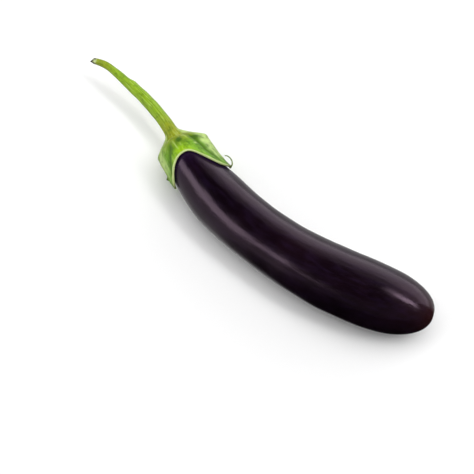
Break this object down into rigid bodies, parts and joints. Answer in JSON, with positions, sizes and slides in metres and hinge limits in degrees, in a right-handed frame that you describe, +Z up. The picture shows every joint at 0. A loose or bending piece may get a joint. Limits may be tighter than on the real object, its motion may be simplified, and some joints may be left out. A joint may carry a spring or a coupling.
{
  "type": "eggplant",
  "caption": "Long slender dark purple eggplant with green lobed calyx and curved stem, lying on its side on a narrow flat strip along its belly.",
  "frame": {"origin": "middle of the eggplant's box, on the surface it lies on", "axes": "+X along the length, from the stem's cut end towards the blossom end; +Z up, away from the surface; the eggplant bends in the XY plane"},
  "size_m": [0.309, 0.0578, 0.0441],
  "materials": {
    "fruit_skin": "natural waxy gloss of vegetable skin",
    "calyx_green": "natural, soft satin leaf tissue",
    "stem_green": "natural, satin, finely ribbed"
  },
  "bodies": {
    "root": {"fruit": "fruit_skin", "calyx": "calyx_green", "stem": "stem_green"}
  },
  "joints": []
}
